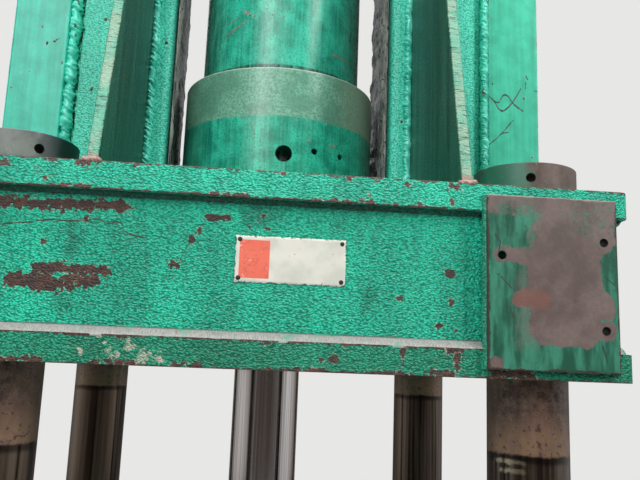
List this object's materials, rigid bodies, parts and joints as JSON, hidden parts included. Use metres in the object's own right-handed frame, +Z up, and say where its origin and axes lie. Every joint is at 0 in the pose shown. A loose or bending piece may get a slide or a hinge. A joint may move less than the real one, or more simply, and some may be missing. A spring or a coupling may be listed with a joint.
{
  "type": "hydraulic press",
  "caption": "Four-column down-stroking hydraulic press with a welded crosshead, a top cylinder and a guided moving platen.",
  "frame": {"origin": "on the floor, under the ram's axis", "axes": "+Z up, front (operator's side) towards -Y, +X to the right seen from the front"},
  "size_m": [1.06, 0.96, 2.7312],
  "materials": {
    "hammered_green": "hammered green enamel, chipped and rusty at its edges",
    "smooth_green": "smooth green enamel, streaked",
    "bare_primer": "worn brown primer with remains of green paint",
    "column_steel": "polished, with brown rust and dark oil",
    "ram_chrome": "hard chrome, mirror bright with fine upright marks",
    "machined_steel": "machined",
    "bronze": "turned bearing bronze",
    "black_rubber": "matt",
    "plate_print": "printed aluminium, worn"
  },
  "bodies": {
    "frame": {"bed_bottom_plate": "hammered_green", "bed_top_plate": "machined_steel", "bed_web_frame": "hammered_green", "column_front_left": "column_steel", "column_front_right": "column_steel", "column_rear_left": "column_steel", "column_rear_right": "column_steel", "column_tube_front_left": "hammered_green", "column_tube_front_right": "hammered_green", "column_tube_rear_left": "hammered_green", "column_tube_rear_right": "hammered_green", "corner_pad": "bare_primer", "crosshead_bottom_plate": "hammered_green", "crosshead_centre_tube": "hammered_green", "crosshead_front_web": "hammered_green", "crosshead_left_web": "hammered_green", "crosshead_rear_web": "hammered_green", "crosshead_right_web": "hammered_green", "crosshead_top_plate": "hammered_green", "cylinder_barrel": "smooth_green", "cylinder_collar": "smooth_green", "cylinder_end_cap": "smooth_green", "gland_bush": "bronze", "gland_ring": "machined_steel", "gusset_front_left": "hammered_green", "gusset_front_right": "hammered_green", "gusset_rear_left": "hammered_green", "gusset_rear_right": "hammered_green", "levelling_foot_front_left": "machined_steel", "levelling_foot_front_right": "machined_steel", "levelling_foot_rear_left": "machined_steel", "levelling_foot_rear_right": "machined_steel", "nameplate": "plate_print", "ring_nut_front_left": "bare_primer", "ring_nut_front_right": "bare_primer", "ring_nut_rear_left": "bare_primer", "ring_nut_rear_right": "bare_primer", "rod_seal": "black_rubber", "top_tie_plate": "hammered_green", "upright_box_left": "hammered_green", "upright_box_right": "hammered_green", "upright_slab_left": "smooth_green", "upright_slab_right": "smooth_green", "wiper_ring": "black_rubber"},
    "platen": {"guide_bush_front_left": "bronze", "guide_bush_front_right": "bronze", "guide_bush_rear_left": "bronze", "guide_bush_rear_right": "bronze", "piston": "machined_steel", "piston_nut": "machined_steel", "piston_ring_lower": "black_rubber", "piston_ring_upper": "black_rubber", "platen_hub": "hammered_green", "platen_lower_plate": "machined_steel", "platen_upper_plate": "hammered_green", "platen_web_frame": "hammered_green", "ram": "ram_chrome", "ram_flange": "machined_steel"}
  },
  "joints": [
    {"name": "ram_slide", "type": "slide", "parent": "frame", "child": "platen", "axis": [0, 0, 1], "range_m": [-0.2, 0.3]}
  ]
}
